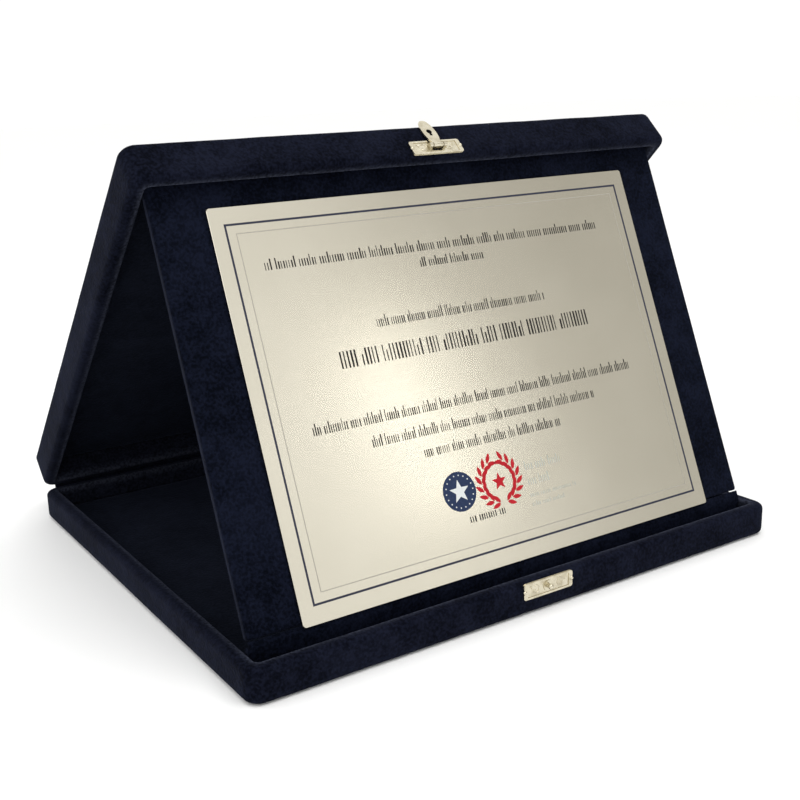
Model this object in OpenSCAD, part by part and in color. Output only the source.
// Folding presentation case with an award plate, standing open as a tent.
// A shallow base tray lies on the table, a lid tray hinged along the rear rim
// leans forward over it, and a velvet covered panel that carries the plate
// leans back with its top edge tucked inside the lid's front corner.
// Frame: +Z up, the front faces -Y, origin under the middle of the base.

/* [Case] */
// Width of the closed case
case_w = 254; // [240:1:312]
// Depth of the closed case
case_d = 217; // [185:1:262]
// Height of the base tray, underside to rim
base_h = 13.4; // [11.5:0.1:18]
// Height of the lid tray, top to rim
lid_h = 16.5; // [15:0.5:21]
// Thickness of a covered tray wall
wall_t = 5.6; // [4.4:0.1:7]
// Radius of the upright corners
corner_r = 6; // [5:0.5:12]
// Radius of the tray's inner corners
inner_r = 1.8; // [0.8:0.1:4]
// Radius along a rim's outer side
rim_r = 2.4; // [1.6:0.1:2.4]
// Radius along a rim's inner side
rim_in_r = 1.2; // [1:0.1:1.4]
// Radius of the long edges round each board
edge_r = 2.5; // [1.5:0.1:3]

/* [Boards and cloth] */
// Thickness of the board in each tray
board_t = 2.4; // [1.8:0.1:3]
// Thickness of the velvet covering
velvet_t = 0.7; // [0.4:0.05:0.9]
// Thickness of the base lining pad
base_lining_t = 1.2; // [0.8:0.1:1.6]
// Thickness of the padded lid lining
lid_lining_t = 3; // [2:0.1:4]
// Thickness of the hinge cloth
cloth_t = 0.3; // [0.2:0.05:0.35]
// Height of the cloth glued below a hinge line
cloth_tail = 6; // [4:0.5:7]

/* [Display panel] */
// Length of the panel from its crease to its top edge
panel_l = 167; // [162:0.5:184]
// Thickness of the panel board
panel_board_t = 2.4; // [2:0.1:3.2]
// Thickness of the velvet on the panel
panel_velvet_t = 0.6; // [0.4:0.05:0.8]
// Thickness of the sheet on the panel's back
back_sheet_t = 0.3; // [0.2:0.05:0.5]
// Gap between the panel and each side wall of the tray
panel_side_gap = 0.7; // [0.5:0.1:2]
// Distance of the panel crease behind the base's inner front wall
riser_setback = 6; // [4.5:0.1:8]
// Height of the panel crease above the base rim
crease_rise = 1.8; // [0:0.1:2]
// Thickness of the riser strip below the crease
riser_t = 1; // [0.8:0.1:1.6]
// Distance of the panel's rear top edge from the lid's inner front wall
tuck_gap = 3.6; // [3.6:0.1:5]

/* [Plate] */
// Width of the award plate
plate_w = 200; // [160:1:228]
// Height of the award plate
plate_h = 150; // [120:1:153]
// Thickness of the award plate
plate_t = 1; // [0.6:0.1:1.5]
// Radius of the plate's corners
plate_corner_r = 1.2; // [0.5:0.1:3]
// Height of the plate's lower edge above the crease
plate_lift = 1.1; // [1:0.1:3]
// Thickness of the adhesive tape under the plate
tape_t = 0.3; // [0.2:0.05:0.5]
// Width of a tape strip
tape_w = 18; // [10:1:30]

/* [Clasp] */
// Width of each stamped plate
stamp_w = 24; // [18:0.5:30]
// Height of the stamped plate on the lid
clasp_h = 6.6; // [6:0.1:7.4]
// Height of the stamped plate on the base
catch_h = 6.6; // [6:0.1:7]
// Thickness of the stamped sheet
stamp_t = 0.5; // [0.4:0.05:0.7]
// Height of the raised border on a stamped plate
stamp_border = 0.3; // [0.2:0.05:0.4]
// Height of the clasp plate's centre above the lid rim
clasp_lift = 3.9; // [3.8:0.1:5.5]
// Depth of the catch plate's centre below the base rim
catch_drop = 3.6; // [3.5:0.1:4.6]
// Length of the tongue from its pivot to its tip
tongue_l = 14; // [12.5:0.25:16]
// Width of the tongue at its widest
tongue_w = 6.3; // [5.6:0.1:7.5]
// Thickness of the tongue
tongue_t = 0.6; // [0.4:0.05:0.7]
// Angle from the closed tongue to the tongue folded back
tongue_flip = 186; // [176:1:187]
// Radius of the clasp's pivot pin
pin_r = 0.5; // [0.4:0.05:0.6]
// Radius of a nail's shank
nail_r = 0.35; // [0.3:0.05:0.45]
// Radius of a nail's head
nail_head_r = 0.8; // [0.7:0.05:1]

/* [Hidden] */
$fn = 64;

velvet_blue = "#10142c";
board_brown = "#a98f68";
clasp_gold = "#cdc7a9";
plate_steel = "#c9c4ae";

play = 0.4;        // clearance between pieces that move past each other
pin_play = 0.05;   // running clearance round the pivot pin
press_play = 0.02; // clearance round a driven nail or pin
over = 1;          // how far a cutting shape runs past the face that it cuts

// Tray walls
board_top = velvet_t + board_t;
inner_w = case_w - 2 * wall_t;
inner_d = case_d - 2 * wall_t;
front_y = -case_d / 2;

// Display panel, measured from its crease: y along it, z out of its front
panel_w = inner_w - 2 * panel_side_gap;
panel_t = panel_velvet_t + panel_board_t + back_sheet_t;
riser_total = riser_t + 2 * panel_velvet_t;
panel_start = riser_total + play;
crease_y = front_y + wall_t + riser_setback;
crease_z = base_h + crease_rise;
floor_z = board_top + base_lining_t;
riser_h = crease_z - cloth_t - floor_z;
panel_corner_r = 2;

// The tent is a triangle: the rear hinge, the crease and the panel's rear top
// edge. That edge lies at tuck_u along the lid and tuck_n into its hollow.
tuck_u = case_d - wall_t - tuck_gap;
tuck_n = lid_h - board_top - lid_lining_t - play;
lid_side = sqrt(tuck_u * tuck_u + tuck_n * tuck_n);
panel_side = sqrt(panel_l * panel_l + panel_t * panel_t);
floor_dy = case_d / 2 - crease_y;
floor_side = sqrt(floor_dy * floor_dy + crease_rise * crease_rise);
floor_slope = atan2(crease_rise, floor_dy);
function corner_angle(a, b, far) = acos((a * a + b * b - far * far) / (2 * a * b));
lid_angle = corner_angle(lid_side, floor_side, panel_side) + floor_slope - atan2(tuck_n, tuck_u);
panel_angle = corner_angle(panel_side, floor_side, lid_side) - floor_slope + atan2(panel_t, panel_l);

// Clasp
knuckle_r = 0.95;
knuckle_stand = knuckle_r + play;  // pivot axis above the stamped sheet
pivot_out = stamp_t + knuckle_stand;
knuckle_w = 4.4;
ear_w = 1.4;
notch_r = 0.9;
border_w = 0.8;
stamp_r = 1;
nail_x = stamp_w / 2 - notch_r / 2;
nail_l = wall_t - velvet_t;
nail_head_h = 0.6;
tip_r = 2.3;
waist = 2.2;                    // how far the leaf's arcs run on behind the pivot
hole_r = 1.2;
hole_at = clasp_lift + catch_drop;
knob_r = 0.9;
knob_head_r = 1.1;
knob_l = 2.6;
boss_r = 2.2;
nail_holes = [-nail_x, nail_x];

// ---- shapes shared by the trays ----

// A rectangle centred on the origin with round corners
module round_rect(w, d, r) {
    square([w - 2 * r, d], center = true);
    square([w, d - 2 * r], center = true);
    for (sx = [-1, 1], sy = [-1, 1])
        translate([sx * (w / 2 - r), sy * (d / 2 - r)]) circle(r);
}

// Sweeps an edge section round a rounded rectangle of outer size w by d. In the
// section x runs from the outline into the wall, which lies inside or outside it.
module sweep_round(w, d, r, inside) {
    turn = [inside ? 0 : 1, 0];
    for (side = [0, 1]) {
        mirror([0, side, 0]) translate([-(w / 2 - r), -d / 2, 0])
            rotate([90, 0, 90]) linear_extrude(w - 2 * r) mirror(turn) children();
        mirror([side, 0, 0]) translate([-w / 2, d / 2 - r, 0])
            rotate([90, 0, 0]) linear_extrude(d - 2 * r) mirror(turn) children();
        for (end = [0, 1])
            mirror([side, 0, 0]) mirror([0, end, 0]) translate([-(w / 2 - r), -(d / 2 - r), 0])
                rotate([0, 0, 180]) rotate_extrude(angle = 90)
                    translate([r, 0]) mirror([1 - turn[0], 0]) children();
    }
}

// Upright strip of a wall, its lower corner rounded by low_r and its upper one by top_r
module edge_section(width, h, low_r, top_r) {
    difference() {
        square([width, h]);
        if (low_r > 0) difference() {
            square(low_r);
            translate([low_r, low_r]) circle(low_r);
        }
        if (top_r > 0) translate([0, h - top_r]) difference() {
            square(top_r);
            translate([top_r, 0]) circle(top_r);
        }
    }
}

// A tray's wall from its underside to its rim, pared down by cut on every face
module tray_wall(h, cut) {
    w = case_w - 2 * cut;
    d = case_d - 2 * cut;
    r = corner_r - cut;
    low_r = edge_r - cut;
    out_r = rim_r - cut;
    in_r = rim_in_r - cut;
    margin = max(low_r, out_r);
    wall_h = h - 2 * cut;
    translate([0, 0, cut]) {
        sweep_round(w, d, r, true) edge_section(margin, wall_h, low_r, out_r);
        linear_extrude(wall_h) difference() {
            round_rect(w - 2 * margin, d - 2 * margin, r - margin);
            round_rect(inner_w + 2 * (cut + in_r), inner_d + 2 * (cut + in_r), inner_r + cut + in_r);
        }
        sweep_round(inner_w + 2 * cut, inner_d + 2 * cut, inner_r + cut, false)
            edge_section(in_r, wall_h, 0, in_r);
    }
}

// The board that closes a tray, its outer long edge rounded
module tray_board() {
    w = case_w - 2 * velvet_t;
    d = case_d - 2 * velvet_t;
    r = corner_r - velvet_t;
    low_r = edge_r - velvet_t;
    translate([0, 0, velvet_t]) {
        sweep_round(w, d, r, true) edge_section(low_r, board_t, low_r, 0);
        linear_extrude(board_t) round_rect(w - 2 * low_r, d - 2 * low_r, r - low_r);
    }
}

// One of the four rails, cut at 45 degrees where it meets its neighbours
module tray_rail(side, h) {
    along_x = side == "front" || side == "rear";
    flip = side == "rear" || side == "right" ? 1 : 0;
    half_w = case_w / 2;
    half_d = case_d / 2;
    mirror(along_x ? [0, flip, 0] : [flip, 0, 0]) intersection() {
        tray_wall(h, velvet_t);
        translate([0, 0, board_top]) linear_extrude(h)
            if (along_x)
                polygon([[-half_w, -half_d], [half_w, -half_d],
                    [half_w - corner_r, -half_d + corner_r], [-half_w + corner_r, -half_d + corner_r]]);
            else
                polygon([[-half_w, -half_d], [-half_w + corner_r, -half_d + corner_r],
                    [-half_w + corner_r, half_d - corner_r], [-half_w, half_d]]);
    }
}

// The front rail, with the holes for the two nails of its stamped plate
module nailed_front_rail(h, nail_z) {
    difference() {
        tray_rail("front", h);
        nail_bores(nail_z);
    }
}

// The velvet that wraps the board's edge, the wall and the rim, nailed the same way
module nailed_band(h, nail_z) {
    difference() {
        tray_wall(h, 0);
        tray_wall(h, velvet_t);
        tray_board();
        translate([0, 0, -over]) linear_extrude(board_top + over)
            round_rect(case_w - 2 * edge_r, case_d - 2 * edge_r, corner_r - edge_r);
        nail_bores(nail_z);
    }
}

module nail_bores(nail_z) {
    for (x = nail_holes) translate([x, front_y - over, nail_z])
        rotate([-90, 0, 0]) cylinder(r = nail_r + press_play, h = nail_l + over);
}

// Flat velvet over the board's outer face
module face_velvet() {
    linear_extrude(velvet_t) round_rect(case_w - 2 * edge_r, case_d - 2 * edge_r, corner_r - edge_r);
}

module lining_pad(t) {
    translate([0, 0, board_top]) linear_extrude(t) round_rect(inner_w, inner_d, inner_r);
}

// ---- places ----

// Puts a tray that is drawn open side up on the lid's closed place, then opens it
module in_lid() {
    translate([0, case_d / 2, base_h]) rotate([-lid_angle, 0, 0]) translate([0, -case_d / 2, 0]) children();
}

module lid_tray() {
    in_lid() translate([0, 0, lid_h]) mirror([0, 0, 1]) children();
}

module on_panel() {
    translate([0, crease_y, crease_z]) rotate([panel_angle, 0, 0]) children();
}

// A stamped plate is drawn flat with +Z outward and set on a front wall
module on_front(z) {
    translate([0, front_y, z]) rotate([90, 0, 0]) children();
}

// ---- base tray ----

module base_board() color(board_brown) tray_board();
module base_front_rail() color(board_brown) nailed_front_rail(base_h, base_h - catch_drop);
module base_rear_rail() color(board_brown) tray_rail("rear", base_h);
module base_left_rail() color(board_brown) tray_rail("left", base_h);
module base_right_rail() color(board_brown) tray_rail("right", base_h);
module base_velvet_band() color(velvet_blue) nailed_band(base_h, base_h - catch_drop);
module base_underside_velvet() color(velvet_blue) face_velvet();
module base_lining_pad() color(velvet_blue) lining_pad(base_lining_t);

// Card strip that stands on the lining and carries the panel's crease
module riser_strip() color(board_brown)
    translate([-panel_w / 2, crease_y + panel_velvet_t, floor_z])
        cube([panel_w, riser_t, riser_h - panel_velvet_t]);

module riser_velvet() color(velvet_blue)
    difference() {
        translate([-panel_w / 2, crease_y, floor_z]) cube([panel_w, riser_total, riser_h]);
        translate([-panel_w / 2 - over, crease_y + panel_velvet_t, floor_z - over])
            cube([panel_w + 2 * over, riser_t, riser_h - panel_velvet_t + over]);
    }

// Cloth along a hinge line: a bead on the axis and a tail glued to the wall below
module hinge_cloth(length, out) {
    translate([-length / 2, 0, 0]) {
        rotate([0, 90, 0]) cylinder(r = cloth_t, h = length);
        translate([0, out > 0 ? 0 : -cloth_t, -cloth_tail]) cube([length, cloth_t, cloth_tail]);
    }
}

module panel_hinge_cloth() color(velvet_blue) translate([0, crease_y, crease_z]) hinge_cloth(panel_w, -1);
module rear_hinge_cloth() color(velvet_blue)
    translate([0, case_d / 2, base_h]) hinge_cloth(case_w - 2 * corner_r, 1);

// ---- clasp and catch ----

module stamp_outline(h) {
    difference() {
        round_rect(stamp_w, h, stamp_r);
        for (sx = [-1, 1]) translate([sx * stamp_w / 2, 0]) circle(notch_r);
    }
}

module stamped_plate(h) {
    linear_extrude(stamp_t) stamp_outline(h);
    linear_extrude(stamp_t + stamp_border) difference() {
        stamp_outline(h);
        square([stamp_w - 4 * notch_r, h - 2 * border_w], center = true);
    }
}

// Two dome headed nails, the heads bearing on the notched ends
module nail_pair() {
    for (x = nail_holes) translate([x, 0, 0]) {
        translate([0, 0, -nail_l]) cylinder(r = nail_r, h = nail_l + stamp_t + stamp_border);
        translate([0, 0, stamp_t + stamp_border]) intersection() {
            translate([0, 0, nail_head_h - nail_head_r]) sphere(nail_head_r);
            cylinder(r = nail_head_r, h = nail_head_h);
        }
    }
}

module nail_holes_in_plate() {
    for (x = nail_holes) translate([x, 0, -over]) cylinder(r = nail_r + press_play, h = stamp_t + 2 * over);
}

module catch_plate() color(clasp_gold) on_front(base_h - catch_drop) difference() {
    union() {
        stamped_plate(catch_h);
        cylinder(r = boss_r, h = stamp_t + stamp_border);
    }
    nail_holes_in_plate();
    translate([0, 0, -over]) cylinder(r = knob_r + press_play, h = stamp_t + stamp_border + 2 * over);
}

// Round headed knob that the tongue snaps over, riveted through the catch plate
module catch_knob() color(clasp_gold) on_front(base_h - catch_drop) {
    cylinder(r = knob_r, h = stamp_t + knob_l - knob_head_r);
    translate([0, 0, stamp_t + knob_l - knob_head_r]) sphere(knob_head_r);
}

module catch_nails() color(clasp_gold) on_front(base_h - catch_drop) nail_pair();

module clasp_plate() color(clasp_gold) in_lid() on_front(clasp_lift) difference() {
    union() {
        stamped_plate(clasp_h);
        for (sx = [-1, 1]) translate([sx * (knuckle_w / 2 + play + ear_w / 2) - ear_w / 2, 0, 0]) {
            translate([0, 0, pivot_out]) rotate([0, 90, 0]) cylinder(r = knuckle_r, h = ear_w);
            translate([0, -knuckle_r, 0]) cube([ear_w, 2 * knuckle_r, pivot_out]);
        }
    }
    nail_holes_in_plate();
    translate([-stamp_w, 0, pivot_out]) rotate([0, 90, 0]) cylinder(r = pin_r + press_play, h = 2 * stamp_w);
    translate([-knuckle_w / 2, -clasp_h / 2 + 2 * border_w, -over]) cube([knuckle_w, knuckle_r, stamp_t + 2 * over]);
}

module clasp_pin() color(clasp_gold) in_lid() on_front(clasp_lift)
    translate([-knuckle_w / 2 - play - ear_w, 0, pivot_out])
        rotate([0, 90, 0]) cylinder(r = pin_r, h = knuckle_w + 2 * play + 2 * ear_w);

module clasp_nails() color(clasp_gold) in_lid() on_front(clasp_lift) nail_pair();

// Leaf outline: two arcs that meet in a rounded tip, y along the tongue
module tongue_outline() {
    half_l = tongue_l - 2 * tip_r;
    arc_r = (half_l * half_l + tongue_w * tongue_w / 4) / tongue_w;
    intersection() {
        intersection_for (sx = [-1, 1]) translate([sx * (arc_r - tongue_w / 2), half_l - waist]) circle(arc_r);
        translate([-tongue_w / 2, 0]) square([tongue_w, tongue_l - tip_r]);
    }
    translate([0, tongue_l - tip_r]) circle(tip_r);
}

// Swing tongue, drawn hanging closed and then folded back against the lid
module clasp_tongue() color(clasp_gold) in_lid() on_front(clasp_lift)
    translate([0, 0, pivot_out]) rotate([-tongue_flip, 0, 0]) difference() {
        union() {
            rotate([0, 90, 0]) translate([0, 0, -knuckle_w / 2]) cylinder(r = knuckle_r, h = knuckle_w);
            translate([0, 0, -tongue_t / 2]) mirror([0, 1, 0]) linear_extrude(tongue_t) tongue_outline();
        }
        translate([-stamp_w, 0, 0]) rotate([0, 90, 0]) cylinder(r = pin_r + pin_play, h = 2 * stamp_w);
        translate([0, -hole_at, -over]) cylinder(r = hole_r, h = 2 * over);
        translate([-hole_r / 2, -hole_at, -over]) cube([hole_r, 2 * hole_r, 2 * over]);
    }

// ---- lid tray ----

module lid_board() color(board_brown) lid_tray() tray_board();
module lid_front_rail() color(board_brown) lid_tray() nailed_front_rail(lid_h, lid_h - clasp_lift);
module lid_rear_rail() color(board_brown) lid_tray() tray_rail("rear", lid_h);
module lid_left_rail() color(board_brown) lid_tray() tray_rail("left", lid_h);
module lid_right_rail() color(board_brown) lid_tray() tray_rail("right", lid_h);
module lid_velvet_band() color(velvet_blue) lid_tray() nailed_band(lid_h, lid_h - clasp_lift);
module lid_top_velvet() color(velvet_blue) lid_tray() face_velvet();
module lid_lining_pad() color(velvet_blue) lid_tray() lining_pad(lid_lining_t);

// ---- display panel ----

// A slab of the panel between two heights, inset from its edges
module panel_slab(low, high, inset) {
    run = panel_l - panel_start;
    translate([0, panel_start + run / 2, low])
        linear_extrude(high - low) round_rect(panel_w - 2 * inset, run - 2 * inset, panel_corner_r - inset);
}

module panel_board() color(board_brown) on_panel()
    panel_slab(-panel_velvet_t - panel_board_t, -panel_velvet_t, panel_velvet_t);

// Velvet drawn over the panel's front and round its edges
module panel_velvet() color(velvet_blue) on_panel() difference() {
    panel_slab(-panel_velvet_t - panel_board_t, 0, 0);
    panel_slab(-panel_t - over, -panel_velvet_t, panel_velvet_t);
}

module panel_back_sheet() color(velvet_blue) on_panel()
    panel_slab(-panel_t, -panel_velvet_t - panel_board_t, 0);

module plaque_tape() color("white") on_panel()
    for (side = [-1, 1])
        translate([side * (plate_w / 2 - tape_w), plate_lift + plate_h / 2, tape_t / 2])
            cube([tape_w, plate_h - 2 * tape_w, tape_t], center = true);

module plaque_plate() color(plate_steel) on_panel()
    translate([0, plate_lift + plate_h / 2, tape_t])
        linear_extrude(plate_t) round_rect(plate_w, plate_h, plate_corner_r);

base_board();
base_front_rail();
base_rear_rail();
base_left_rail();
base_right_rail();
base_velvet_band();
base_underside_velvet();
base_lining_pad();
riser_strip();
riser_velvet();
panel_hinge_cloth();
rear_hinge_cloth();
catch_plate();
catch_knob();
catch_nails();
lid_board();
lid_front_rail();
lid_rear_rail();
lid_left_rail();
lid_right_rail();
lid_velvet_band();
lid_top_velvet();
lid_lining_pad();
clasp_plate();
clasp_pin();
clasp_nails();
clasp_tongue();
panel_board();
panel_velvet();
panel_back_sheet();
plaque_tape();
plaque_plate();
